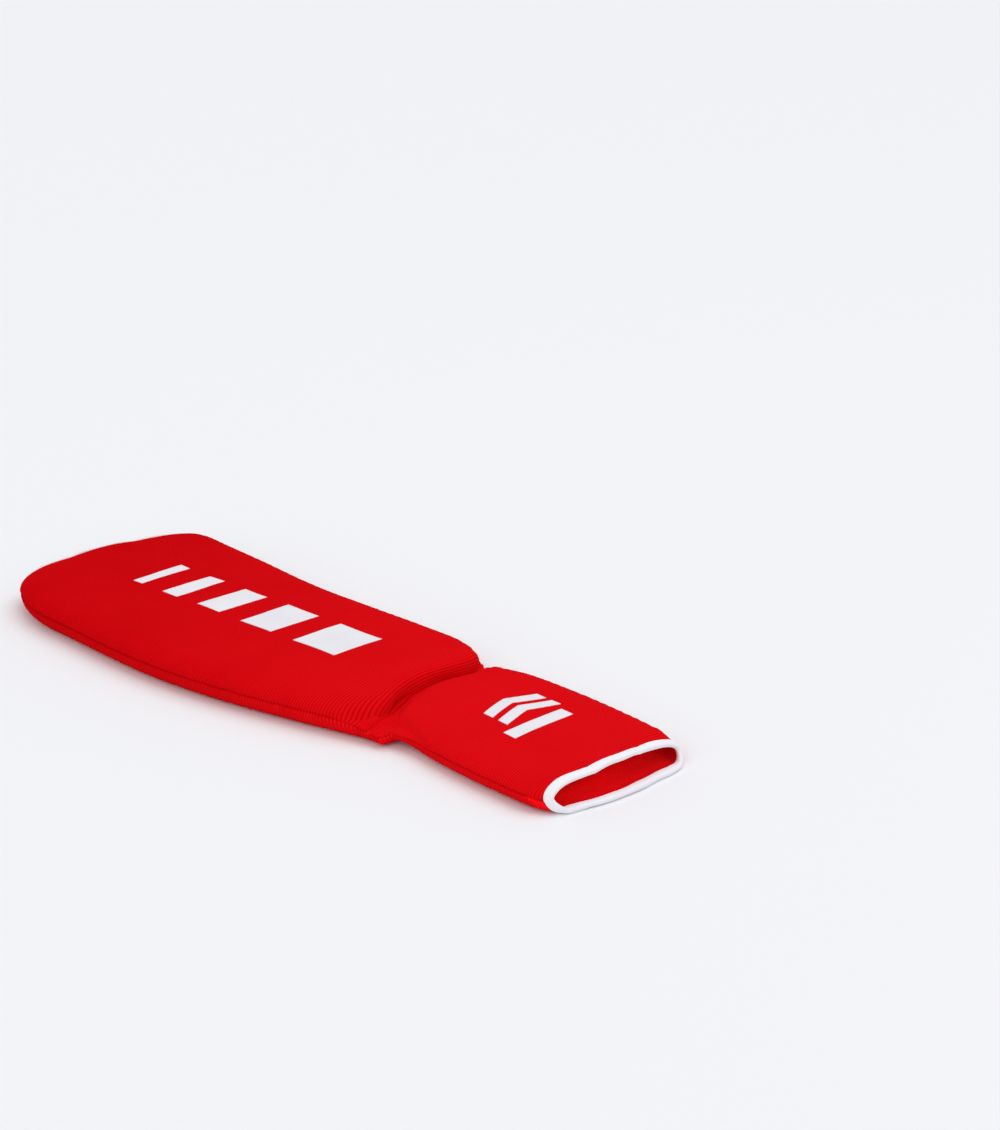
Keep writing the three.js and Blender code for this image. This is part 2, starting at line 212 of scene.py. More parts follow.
def pad_nose(x, y, section):
    """0 at the fold and 1 on the pad, over the pad's rounded end; y is the place across, from the middle."""
    corner = PAD_CORNER[section]
    reach, back_off = (np.where(y > 0, corner["left"][k], corner["right"][k]) for k in (0, 1))
    k = np.clip((np.abs(y) - (half_width(x) - reach)) / reach, 0, 0.98)
    start, end = RAMP[section]
    return np.clip((np.abs(X_FOLD - x) - start - back_off * (1 - np.sqrt(1 - k * k))) / (end - start), 0, 1)


def top_height(x, y=0.0):
    fold = fold_height(y + middle(x))
    shin = mix(fold, HEIGHT["shin"], (1 - (1 - pad_nose(x, y, "shin")) ** 2.4) ** 0.6)
    shin = mix(HEIGHT["top_lip"], shin, ease(x - X_TOP, *LIP_RAMP["top"]) ** 0.6)
    instep = mix(fold, HEIGHT["instep"], (1 - (1 - pad_nose(x, y, "instep")) ** 2.0) ** 1.1)
    instep = mix(HEIGHT["toe_lip"], instep, ease(X_TOE - x, *LIP_RAMP["toe"]))
    return np.where(x < X_FOLD, shin, instep)


def bottom_height(x):
    lift = WAIST_LIFT
    at_lips = LIP_LIFT["top"] * near_top(x) + LIP_LIFT["toe"] * near_toe(x)
    return at_lips + lift["most"] * bell(x, lift["x"], lift["reach"])


def seam_height(x):
    body = mix(SEAM["shin"], SEAM["instep"], ease(x, X_FOLD - 10, X_FOLD + 20))
    along = mix(body, SEAM["fold"], bell(x, X_FOLD + 8, 12))
    at_top = mix(along, (top_height(x) + bottom_height(x)) / 2, near_top(x))
    return mix(at_top, SEAM["toe_lip"], near_toe(x))


def shoulder(x):
    body = mix(SHOULDER["shin"], SHOULDER["instep"], ease(x, X_FOLD - 12, X_FOLD + 12))
    return mix(mix(body, SHOULDER["top_lip"], near_top(x)), SHOULDER["toe_lip"], near_toe(x))


def under_shoulder(x):
    return mix(mix(SHOULDER["under"], SHOULDER["under_top"], near_top(x)), SHOULDER["under_toe"], near_toe(x))


def lie(x, y, z):
    """Where a point of the straight, square-ended sleeve lies on the real one."""
    at_top = ease(x, X_TOP + LINE_REACH["top"], X_TOP)
    at_toe = ease(x, X_TOE - LINE_REACH["toe"], X_TOE)
    behind = SETBACK["most"] * np.clip(z / SETBACK["height"], 0, 1) * ease(x, X_TOE - SETBACK["reach"], X_TOE)
    left = y + middle(x)
    fold = fold_line(left) * bell(x, X_FOLD, FOLD_REACH)
    ends = top_line(left) * at_top + toe_line(left) * at_toe
    return np.stack(np.broadcast_arrays(x + ends - behind + fold, left, z), axis=-1)


def across_section(x, t, shoulder_width, inset):
    """(y, cosine of the turn from the flat to the seam) of a panel's section."""
    flat = half_width(x) - shoulder_width
    k = np.abs(t)
    angle = np.clip((k - FLAT_SHARE) / (1 - FLAT_SHARE), 0, 1) * math.pi / 2
    y = np.where(k <= FLAT_SHARE, flat * k / FLAT_SHARE, flat + (shoulder_width - inset) * np.sin(angle))
    return np.sign(t) * y, np.cos(angle), flat


def front(x, t, inset=0.0):
    """The printed side, an inset below its outer face."""
    y, cosine, flat = across_section(x, t, shoulder(x), inset)
    crown = CROWN * (1 - np.clip(np.abs(y) / flat, 0, 1) ** 2)
    rise = top_height(x, y) - CROWN - inset - seam_height(x)
    return lie(x, y, seam_height(x) + np.maximum(rise, LEAST_RISE) * cosine + crown)


def front_height(x, y, inset):
    """The front's height over a place, an inset below its outer face."""
    flat = half_width(x) - shoulder(x)
    past = np.clip((np.abs(y) - flat) / (shoulder(x) - inset), 0, 1)
    crown = CROWN * (1 - np.clip(np.abs(y) / flat, 0, 1) ** 2)
    rise = np.maximum(top_height(x, y) - CROWN - inset - seam_height(x), LEAST_RISE)
    return seam_height(x) + rise * np.sqrt(1 - past * past) + crown


def back(x, t, inset=0.0):
    """The side that lies on the floor."""
    y, cosine, _ = across_section(x, t, under_shoulder(x), inset)
    low = bottom_height(x) + inset
    return lie(x, y, seam_height(x) - (seam_height(x) - low) * cosine)


def ring(x, s, inset=0.0):
    """The whole way round: s from 0 to 1 starts at the right seam and goes over the front first."""
    t = 4 * np.mod(s, 1.0)
    return np.where((t <= 2)[..., None], front(x, t - 1, inset), back(x, 3 - t, inset))


def columns(count):
    """Places across a panel, closer together near its side seams."""
    even = np.linspace(-1, 1, count)
    return mix(even, np.sin(even * math.pi / 2), 0.6)


def grid_normals(p):
    """Normals of a grid of points, rows along the sleeve and columns from the right seam to the left."""
    return unit(np.cross(np.gradient(p, axis=0), np.gradient(p, axis=1)))


# ---- Mesh builders ----
def make_object(name, vertices, faces, material, uv=None):
    mesh = bpy.data.meshes.new(name)
    mesh.from_pydata((np.asarray(vertices, float) * MM).tolist(), [], faces)
    mesh.validate()
    mesh.shade_smooth()
    mesh.materials.append(material)
    if uv is not None:
        layer = mesh.uv_layers.new(name="cloth")
        index = np.empty(len(mesh.loops), dtype=np.int32)
        mesh.loops.foreach_get("vertex_index", index)
        layer.data.foreach_set("uv", (np.asarray(uv, float)[index] * 0.01).ravel())
    obj = bpy.data.objects.new(name, mesh)
    bpy.context.scene.collection.objects.link(obj)
    return obj


def thick_grid(name, outer, inner, material, uv=None, keep=None, closed=False):
    """A solid sheet between two grids of points, rimmed at its edges and round the cells keep leaves out.

    closed joins the last row to the first.
    """
    n, m = outer.shape[:2]
    rows = n if closed else n - 1
    cells = np.ones((rows, m - 1), bool) if keep is None else keep
    vertices = np.concatenate([outer.reshape(-1, 3), inner.reshape(-1, 3)])
    half = n * m
    i, j = np.nonzero(cells)
    ahead = (i + 1) % n
    a, b, c, d = i * m + j, ahead * m + j, ahead * m + j + 1, i * m + j + 1
    faces = np.concatenate([np.stack([a, b, c, d], 1), np.stack([a, d, c, b], 1) + half])
    rims = []
    for edge_a, edge_b, row, column in ((a, b, 0, -1), (c, d, 0, 1), (b, c, 1, 0), (d, a, -1, 0)):
        beside_i, beside_j = i + row, j + column
        if closed:
            beside_i = beside_i % rows
        inside = (beside_i >= 0) & (beside_i < rows) & (beside_j >= 0) & (beside_j < m - 1)
        filled = np.zeros(len(i), bool)
        filled[inside] = cells[beside_i[inside], beside_j[inside]]
        u, v = edge_a[~filled], edge_b[~filled]
        rims.append(np.stack([v, u, u + half, v + half], 1))
    faces = np.concatenate([faces, *rims])
    double_uv = None if uv is None else np.concatenate([uv.reshape(-1, 2)] * 2)
    return make_object(name, vertices, faces.tolist(), material, double_uv)


def swept(name, sections, material, closed, uv=None):
    """A tube through sections[i, j], section i's points in order round it; an open one is capped."""
    n, m = sections.shape[:2]
    faces = []
    for i in range(n if closed else n - 1):
        ahead = (i + 1) % n
        for j in range(m):
            k = (j + 1) % m
            faces.append((i * m + j, i * m + k, ahead * m + k, ahead * m + j))
    if not closed:
        faces.append(tuple(reversed(range(m))))
        faces.append(tuple(range((n - 1) * m, n * m)))
    flat_uv = None if uv is None else uv.reshape(-1, 2)
    return make_object(name, sections.reshape(-1, 3), faces, material, flat_uv)


def own(obj, body, nodes):
    """obj rides on a body and stands for CAD nodes."""
    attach(obj, body)
    settle(nodes)


def span(obj, nodes):
    """obj's placement is baked into its mesh, and it stands for CAD nodes."""
    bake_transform(obj)
    settle(nodes)


def settle(nodes):
    if nodes:
        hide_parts(*nodes)


# ---- Materials ----
class Nodes:
    """A short way to write a material's node tree."""

    def __init__(self, name):
        self.material = bpy.data.materials.new(name)
        self.material.use_nodes = True
        self.tree = self.material.node_tree
        self.shader = self.tree.nodes["Principled BSDF"]

    def add(self, kind, inputs=None, **settings):
        node = self.tree.nodes.new("ShaderNode" + kind)
        for key, value in settings.items():
            setattr(node, key, value)
        for key, value in (inputs or {}).items():
            self.put(node, key, value)
        return node

    def put(self, node, key, value):
        if isinstance(value, bpy.types.NodeSocket):
            self.tree.links.new(value, node.inputs[key])
        else:
            node.inputs[key].default_value = value

    def math(self, operation, a, b=0.0, clamp=False):
        return self.add("Math", {0: a, 1: b}, operation=operation, use_clamp=clamp).outputs[0]

    def mixed(self, factor, a, b, blend="MIX"):
        node = self.add("Mix", data_type="RGBA", blend_type=blend)
        self.put(node, 0, factor)
        self.put(node, 6, a)
        self.put(node, 7, b)
        return node.outputs[2]

    def noise(self, vector, scale, detail=2.0, roughness=0.5):
        inputs = {"Vector": vector, "Scale": scale, "Detail": detail, "Roughness": roughness}
        return self.add("TexNoise", inputs).outputs["Fac"]

    def scaled(self, vector, scale):
        return self.add("Mapping", {"Vector": vector, "Scale": scale}).outputs[0]

    def bump(self, height, strength, distance, below=None):
        inputs = {"Height": height, "Strength": strength, "Distance": distance}
        if below is not None:
            inputs["Normal"] = below
        return self.add("Bump", inputs).outputs[0]

    def finish(self, **inputs):
        for key, value in inputs.items():
            self.put(self.shader, key.replace("_", " ").title().replace("Ior", "IOR"), value)
        return self.material


def rgb(r, g, b):
    """A colour from 0 to 255 values as shown on a screen, as the linear colour that shaders take."""
    linear = [c / 255 / 12.92 if c <= 10 else ((c / 255 + 0.055) / 1.055) ** 2.4 for c in (r, g, b)]
    return (*linear, 1.0)


def knit_material(name, light, dark, groove, rib_bump=0.15):
    """Ribbed elastic knit: ribs across the sleeve, small loops along each rib, soft fuzz and uneven dye, with
    painted shade in the ribs' grooves and a painted light gradient that makes the red lighter from the shin's
    top end towards the fold. groove sets how dark the painted shade in the grooves is.
    """
    n = Nodes(name)
    uv = n.add("UVMap", uv_map="cloth").outputs[0]  # one unit is 100 mm, along and across
    place = n.add("TexCoord").outputs["Object"]
    wander = n.noise(n.scaled(uv, (3, 1.5, 1)), 6, 2)
    apart = n.add("SeparateXYZ", {0: uv}).outputs
    along = n.math("ADD", n.math("MULTIPLY", apart[0], 100 / RIB), n.math("MULTIPLY", wander, 0.25))
    ribs = n.math("ADD", n.math("MULTIPLY", n.math("SINE", n.math("MULTIPLY", along, 2 * math.pi)), 0.5), 0.5)
    loops = n.math("SINE", n.math("MULTIPLY", apart[1], 2 * math.pi * 100 / 1.1))
    loops = n.math("MULTIPLY", n.math("ADD", loops, 1.0), n.math("MULTIPLY", ribs, 0.25))
    yarn = n.noise(n.scaled(uv, (140, 420, 1)), 1.0, 3, 0.6)
    dye = n.noise(place, 28, 4, 0.55)
    fuzz = n.noise(place, 1500, 2, 0.6)
    # Painted light: the red is made lighter along the sleeve, from the shin's top end towards the fold and
    # instep, standing in for light that is stronger towards the fold; tone holds this gradient as well as the
    # uneven dye and fuzz.
    from_top = n.add("SeparateXYZ", {0: place}).outputs[0]
    spread = {"Value": from_top, "From Min": -0.2, "From Max": 0.1, "To Min": -0.25, "To Max": 0.45}
    painted_light_gradient = n.add("MapRange", spread).outputs[0]
    tone = n.math("ADD", n.math("MULTIPLY", dye, 0.45), n.math("MULTIPLY", fuzz, 0.35))
    tone = n.math("ADD", tone, painted_light_gradient, clamp=True)
    base = n.mixed(tone, dark, light)
    # Painted shade: the grooves between the ribs are darkened towards a deeper copy of the dark red, as
    # strongly as groove says.
    painted_groove_shade = n.math("MULTIPLY", n.math("SUBTRACT", 1.0, n.math("POWER", ribs, 0.5)), groove, clamp=True)
    colour = n.mixed(painted_groove_shade, base, tuple(c * 0.45 for c in dark[:3]) + (1,))
    low = n.bump(ribs, rib_bump, 0.0004)
    mid = n.bump(loops, 0.35, 0.0003, low)
    high = n.bump(n.math("ADD", yarn, fuzz), 0.35, 0.0003, mid)
    return n.finish(
        base_color=colour, roughness=0.95, specular_ior_level=0.0, normal=high,
        sheen_weight=0.1, sheen_roughness=0.5, sheen_tint=(1.0, 0.08, 0.08, 1),
    )


def tape_material(name, colour, shade):
    """Stretch edge tape: a fine twill."""
    n = Nodes(name)
    uv = n.add("UVMap", uv_map="cloth").outputs[0]
    place = n.add("TexCoord").outputs["Object"]
    apart = n.add("SeparateXYZ", {0: uv}).outputs
    slanted = n.math("ADD", n.math("MULTIPLY", apart[0], 1.0), n.math("MULTIPLY", apart[1], 0.6))
    twill = n.math("SINE", n.math("MULTIPLY", slanted, 2 * math.pi * 100 / 0.8))
    cross = n.math("SINE", n.math("MULTIPLY", apart[1], 2 * math.pi * 100 / 0.7))
    weave = n.math("ADD", n.math("MULTIPLY", twill, 0.3), n.math("MULTIPLY", cross, 0.2))
    cloud = n.noise(place, 60, 3)
    base = n.mixed(cloud, shade, colour)
    bumps = n.bump(weave, 0.4, 0.0002, n.bump(cloud, 0.2, 0.002))
    return n.finish(
        base_color=base, roughness=0.8, specular_ior_level=0.25, normal=bumps,
        sheen_weight=0.25, sheen_roughness=0.4, sheen_tint=(1, 1, 1, 1),
    )


def foam_material(name):
    n = Nodes(name)
    place = n.add("TexCoord").outputs["Object"]
    cells = n.add("TexVoronoi", {"Vector": place, "Scale": 900.0}).outputs["Distance"]
    cloud = n.noise(place, 40, 3)
    base = n.mixed(cloud, rgb(222, 216, 200), rgb(240, 237, 226))
    pores = n.bump(cells, 0.5, 0.0004)
    return n.finish(base_color=base, roughness=0.95, specular_ior_level=0.2, normal=pores)


def lining_material(name):
    """Plain woven cloth."""
    n = Nodes(name)
    place = n.add("TexCoord").outputs["Object"]
    apart = n.add("SeparateXYZ", {0: place}).outputs
    warp = n.math("SINE", n.math("MULTIPLY", apart[0], 2 * math.pi / 0.0007))
    weft = n.math("SINE", n.math("MULTIPLY", apart[1], 2 * math.pi / 0.0007))
    weave = n.math("MULTIPLY", warp, weft)
    cloud = n.noise(place, 50, 4)
    base = n.mixed(cloud, rgb(222, 4, 14), rgb(246, 10, 22))
    return n.finish(base_color=base, roughness=0.9, specular_ior_level=0.2, normal=n.bump(weave, 0.4, 0.0002))


def film_material(name):
    """White heat-transfer film over ribs: satin, with the knit showing through a little."""
    n = Nodes(name)
    place = n.add("TexCoord").outputs["Object"]
    grain = n.noise(place, 900, 3, 0.6)
    cloud = n.noise(place, 70, 2)
    base = n.mixed(cloud, rgb(230, 227, 232), rgb(240, 239, 244))
    rough = n.add("MapRange", {"Value": grain, "To Min": 0.42, "To Max": 0.62}).outputs[0]
    bumps = n.bump(grain, 0.25, 0.0002)
    return n.finish(base_color=base, roughness=rough, specular_ior_level=0.4, normal=bumps)


def thread_material(name, light, dark):
    n = Nodes(name)
    place = n.add("TexCoord").outputs["Object"]
    strands = n.noise(place, 2500, 2, 0.7)
    base = n.mixed(strands, dark, light)
    return n.finish(
        base_color=base, roughness=0.75, specular_ior_level=0.3, normal=n.bump(strands, 0.4, 0.0002),
        sheen_weight=0.2, sheen_roughness=0.4, sheen_tint=(1, 1, 1, 1),
    )


# RED_LIGHT and RED_DARK bound the knit's uneven dye and its painted light gradient; the painted shade in the
# ribs' grooves darkens towards a deeper copy of RED_DARK.
RED_LIGHT = rgb(243, 14, 22)
RED_DARK = rgb(208, 1, 9)
# 0.6 sets how dark the painted shade in the ribs' grooves is.
knit = knit_material("red_rib_knit", RED_LIGHT, RED_DARK, 0.6)
lining = lining_material("red_lining")
foam = foam_material("foam")
tape = tape_material("white_tape", rgb(250, 250, 254), rgb(240, 238, 243))
film = film_material("white_film")
red_thread = thread_material("red_thread", rgb(205, 8, 16), rgb(150, 2, 8))
white_thread = thread_material("white_thread", rgb(248, 248, 250), rgb(222, 220, 224))


# ---- The knit ----
def side_distance(t):
    """Millimetres from the nearest side seam, round a panel's shoulder."""
    return (1 - np.abs(t)) / (1 - FLAT_SHARE) * 27


def ribs(along):
    """Flat-topped ribs with a narrow groove between them; along is in ribs."""
    return 0.25 - 0.75 * np.cos(2 * math.pi * along)


broad = waves(3, 120, 35)
ripple = waves(5, 26, 7)
pucker = waves(7, 24, 5)
crumple = waves(11, 30, 6)


def side_folds(x, t, d, direction):
    """Short grooves that start at the side seams near the fold."""
    total = 0.0
    for side, start, lean, depth in SIDE_FOLDS:
        near = (np.sign(t) == side) * np.exp(-((d / 9) ** 2))
        total = total - depth * bell(x, start + direction * lean * d, 1.5) * near
    return total


def front_relief(x, t, left, along):
    """How far the front's face stands out, for its creases, puckers and ribs."""
    d = side_distance(t)
    a = X_FOLD - x
    calm = 1 - 0.75 * ease(a, -1, 0) * ease(a, 30, 12)
    calm = calm * (1 - 0.8 * bell(x, X_FOLD + 6, 18) * np.exp(-((d / 16) ** 2)))
    bulge = 1.1 * bell(a, 2.8, 1.8) * ease(d, 4, 16)
    deepest = 1 + PIT["extra"] * bell(left, PIT["left"], PIT["reach"])
    tuck = -TUCK_DEPTH * deepest * bell(a, -0.6 + 0.3 * ripple(x, left), 0.9) * ease(d, 2, 12)
    creases = (bulge + tuck) * ease(a, -6, -2)
    groove = -SEAM_DEPTH * np.exp(-((d / 1.1) ** 2))
    gathers = 0.22 * pucker(x, d * 0.3) * np.exp(-((d / 7) ** 2))
    pinch = 1.0 * crumple(x * 1.4, left) * bell(x, X_FOLD + 6, 12) * np.exp(-((d / 14) ** 2))
    pinch = pinch + side_folds(x, t, d, -1)
    swell = 0.35 * broad(x, left) * ease(d, 0, 20)
    stand = ease(np.minimum(x - X_TOP, X_TOE - x), 3, 8)
    return (creases + gathers + pinch + swell + calm * RIB_DEPTH * ribs(along / RIB)) * stand + groove


def back_relief(x, t, left):
    d = side_distance(t)
    groove = -SEAM_DEPTH * np.exp(-((d / 1.1) ** 2))
    gathers = 0.25 * pucker(x + 50, d * 0.3) * np.exp(-((d / 7) ** 2))
    pinch = 1.0 * crumple(x * 1.4 + 90, left) * bell(x, X_FOLD + 6, 12) * np.exp(-((d / 14) ** 2))
    pinch = pinch + side_folds(x, t, d, 1)
    stand = ease(np.minimum(x - X_TOP, X_TOE - x), 3, 8)
    return (gathers + pinch) * stand + groove


def rest_on_floor(points, clearance=0.1):
    points[..., 2] = np.maximum(points[..., 2], clearance)
    return points


def cloth_uv(x, points):
    """Millimetres along and across a grid of points."""
    steps = np.linalg.norm(np.diff(points, axis=1), axis=-1)
    across = np.concatenate([np.zeros((len(points), 1)), np.cumsum(steps, axis=1)], axis=1)
    across -= across[:, across.shape[1] // 2][:, None]
    return np.stack(np.broadcast_arrays(x, across), axis=-1)


def even_stations(start, end, step):
    """Places along the sleeve that are a step apart over its front's middle line, ups and downs included."""
    fine = np.arange(start, end, 0.05)
    middle_line = front(fine, np.zeros_like(fine))
    travel = np.concatenate([[0], np.cumsum(np.linalg.norm(np.diff(middle_line, axis=0), axis=1))])
    count = int(travel[-1] / step)
    along = np.linspace(0, travel[-1], count)
    return np.interp(along, travel, fine), along


def front_grid():
    x, along = even_stations(X_TOP + LIP_SETBACK, X_TOE - LIP_SETBACK, STATION)
    return x[:, None], columns(61)[None, :], along[:, None]


# ---- The front's slack, from a cloth simulation ----
SLACK = {
    "step": 3.2,  # between the cloth's rows
    "columns": 49,
    "frames": 20,
    "extra": 0.006,  # the cloth's extra length, as a share
    "out": 1.4,  # the most it moves out of the plain shape, and in
    "in": 0.6,
}


def slack_offsets():
    """How far sewn-down cloth with a little extra length moves off the plain shape, by place.

    The cloth is held at its edges and, more loosely, over the pads' flat tops, and is free at the fold and
    along the sides. A gentle pressure fills it.
    """
    x = even_stations(X_TOP + LIP_SETBACK, X_TOE - LIP_SETBACK, SLACK["step"])[0][:, None]
    t = columns(SLACK["columns"])[None, :]
    start = front(x, t)
    n, m = start.shape[:2]
    faces = [(i * m + j, (i + 1) * m + j, (i + 1) * m + j + 1, i * m + j + 1)
             for i in range(n - 1) for j in range(m - 1)]
    obj = make_object("slack_cloth", start.reshape(-1, 3), faces, knit)
    d = side_distance(t)
    held = (0.4 + 0.55 * ease(d, 8, 22)) * ease(np.abs(x - X_FOLD), 8, 22)
    held = np.maximum(held, ease(np.minimum(x - X_TOP, X_TOE - x), 12, 5) + 0 * t)
    held = np.maximum(held, (d < 0.5) * 1.0)
    group = obj.vertex_groups.new(name="held")
    for i, weight in enumerate(held.ravel()):
        group.add([i], float(weight), "REPLACE")
    cloth = obj.modifiers.new("slack", "CLOTH")
    settings = cloth.settings
    settings.quality = 6
    settings.mass = 0.2
    settings.tension_stiffness = 15
    settings.compression_stiffness = 6
    settings.shear_stiffness = 4
    settings.bending_stiffness = 2.0
    settings.vertex_group_mass = "held"
    settings.pin_stiffness = 1.0
    settings.shrink_min = -SLACK["extra"]
    settings.shrink_max = -SLACK["extra"]
    settings.use_pressure = True
    settings.uniform_pressure_force = 3
    settings.effector_weights.gravity = 0
    cloth.collision_settings.use_collision = False
    cloth.point_cache.frame_end = SLACK["frames"]
    for frame_number in range(1, SLACK["frames"] + 1):
        bpy.context.scene.frame_set(frame_number)
    settled = obj.evaluated_get(bpy.context.evaluated_depsgraph_get()).to_mesh()
    moved = np.empty(n * m * 3)
    settled.vertices.foreach_get("co", moved)
    bpy.data.objects.remove(obj)
    bpy.context.scene.frame_set(1)
    offset = moved.reshape(n, m, 3) / MM - start
    normals = grid_normals(start)
    off_face = np.sum(offset * normals, axis=-1, keepdims=True)
    size = np.linalg.norm(offset, axis=-1, keepdims=True)
    most = np.where(off_face > 0, SLACK["out"], SLACK["in"])
    offset = offset * np.minimum(1, most / np.maximum(size, 1e-6))

    def at(along, across):
        i, j = np.broadcast_arrays(along * (n - 1), np.interp(across, t[0], np.arange(m)))
        return sample_grid(offset, i, j)

    return at


def sample_grid(grid, i, j):
    """A grid's value between its points, at the row and column i and j."""
    i, j = np.clip(i, 0, grid.shape[0] - 1.001), np.clip(j, 0, grid.shape[1] - 1.001)
    i0, j0 = i.astype(int), j.astype(int)
    fi, fj = (i - i0)[..., None], (j - j0)[..., None]
    return mix(mix(grid[i0, j0], grid[i0 + 1, j0], fi), mix(grid[i0, j0 + 1], grid[i0 + 1, j0 + 1], fi), fj)


def front_knit():
    x, t, along = front_grid()
    points = front(x, t)
    normals = grid_normals(points)
    relief = front_relief(x, t, points[..., 1], along)
    slack = slack_offsets()(along / along[-1], t)
    outer = points + slack + normals * relief[..., None]
    inner = outer - normals * KNIT
    obj = thick_grid("front_knit", outer, rest_on_floor(inner), knit, cloth_uv(along, points))
    span(obj, ["shin_front_knit", "instep_front_knit", "ankle_fold_knit"])
    return outer, normals, x[:, 0], t[0]


def heel_x(t, section):
    """The heel opening's edge, as a place along the sleeve."""
    outward = -1 if section == "shin" else 1
    y = np.abs(across_section(X_FOLD, t, under_shoulder(X_FOLD), 0)[0])
    share = np.minimum(1, y / HEEL["half_width"]) ** 3
    return X_FOLD + outward * mix(HEEL[section + "_reach"], HEEL["start"], share)


def back_knit():
    """The back panel, whose rows spread round the heel opening."""
    start, end = X_TOP + LIP_SETBACK, X_TOE - LIP_SETBACK
    t = columns(73)[None, :]
    calm = {"shin": X_FOLD - 60, "instep": X_FOLD + 56}  # past these places the rows are evenly spread
    edge_a, edge_b = heel_x(t, "shin"), heel_x(t, "instep")
    parts = [
        np.linspace(start, calm["shin"], 150)[:-1, None] + 0 * t,
        mix(calm["shin"], edge_a, np.linspace(0, 1, 46)[:-1, None]),
        mix(edge_a, edge_b, np.linspace(0, 1, 13)[:-1, None]),
        mix(edge_b, calm["instep"], np.linspace(0, 1, 42)[:-1, None]),
        np.linspace(calm["instep"], end, 90)[:, None] + 0 * t,
    ]
    x = np.concatenate(parts)
    first = len(parts[0]) + len(parts[1])
    last = first + len(parts[2])
    y = across_section(X_FOLD, t, under_shoulder(X_FOLD), 0)[0][0]
    keep = np.ones((len(x) - 1, len(y) - 1), bool)
    open_columns = np.abs((y[1:] + y[:-1]) / 2) < HEEL["half_width"]
    keep[first:last, open_columns] = False
    points = back(x, t)
    normals = grid_normals(points) * -1
    outer = points + normals * back_relief(x, t, points[..., 1])[..., None]
    outer = rest_on_floor(outer)
    inner = outer - normals * KNIT
    # The inner grid comes first, because rows and columns run the same way as on the front, which faces up.
    obj = thick_grid("back_knit", inner, outer, knit, cloth_uv(x, points), keep)
    span(obj, ["shin_back_knit", "instep_back_knit"])


# ---- The tape round each opening ----
TAPE = {"half_width": 2.8, "half_thick": 1.7}


def lip_frames(x_lip, inward, count):
    """Centres, outward-along directions and outward normals of the sleeve's edge, round it."""
    s = np.arange(count) / count
    x = np.full(count, x_lip + inward * (TAPE["half_width"] + 0.2))
    centre = ring(x, s, KNIT / 2)
    ahead = unit(ring(x - inward * 1.5, s, KNIT / 2) - ring(x + inward * 1.5, s, KNIT / 2))
    round_it = unit(np.roll(centre, -1, axis=0) - np.roll(centre, 1, axis=0))
    normal = unit(np.cross(ahead, round_it)) * inward
    return centre, unit(np.cross(round_it, normal)) * inward, normal


def opening_tape(name, x_lip, body, node):
    inward = 1 if x_lip < X_FOLD else -1
    count = 420
    centre, ahead, normal = lip_frames(x_lip, inward, count)
    length = np.concatenate([[0], np.cumsum(np.linalg.norm(np.diff(centre, axis=0), axis=1))])
    wave = waves(21 if inward > 0 else 23, 60, 14)
    wobble = 0.6 * wave(length)[:, None]
    angle = np.linspace(0, 2 * math.pi, 28, endpoint=False)[None, :]
    power = 0.75
    a = np.sign(np.cos(angle)) * np.abs(np.cos(angle)) ** power * (TAPE["half_width"] + 0.25 * wobble)
    b = np.sign(np.sin(angle)) * np.abs(np.sin(angle)) ** power * (TAPE["half_thick"] + 0.15 * wobble)
    stitch_dent = 0.12 * np.maximum(0, np.sin(2 * math.pi * length / 2.6))[:, None] * bell(a, -1.9, 0.7)
    b = b - np.sign(b) * stitch_dent
    shift = 0.2 * waves(31, 70, 18)(length)[:, None, None] * normal[:, None, :]
    points = centre[:, None] + a[..., None] * ahead[:, None] + b[..., None] * normal[:, None] + shift
    points[..., 2] += 0.4
    around = np.cumsum(np.ones_like(angle) * 0.6)[None, :]
    uv = np.stack(np.broadcast_arrays(length[:, None], around), axis=-1)
    if inward > 0:
        points = points[:, ::-1]
    obj = swept(name, rest_on_floor(points, 0.05), tape, True, uv)
    own(obj, body, [node])


# ---- The printed marks ----
SHIN_PRINT = {"x": -66.8, "y": 6, "length": 180, "depth": 36, "slant": 5, "bars": (34, 26, 19, 13, 8)}
INSTEP_PRINT = {"x": 160, "y": 6, "turn": 6}
BAR = {"length": 45, "depth": 9.5}
CHEVRON = {"depth": 7.5, "rise": 6, "width": 42, "left": 6.5, "starts": (-35.5, -23.5)}


def on_front(surface, x, left):
    """Points and normals of the front's face at places given from above."""
    outer, normals, xs, ts = surface
    flat = half_width(x) - shoulder(x)
    t = (left - middle(x)) / flat * FLAT_SHARE
    i, j = np.interp(x, xs, np.arange(len(xs))), np.interp(t, ts, np.arange(len(ts)))
    return sample_grid(outer, i, j), sample_grid(normals, i, j)


def printed(name, body, surface, us, vs, place):
    u, v = np.meshgrid(us, vs, indexing="ij")
    x, left = place(u, v)
    points, normals = on_front(surface, x, left)
    obj = thick_grid(name, points + normals * 0.28, points - normals * 0.1, film)
    own(obj, body, [name])


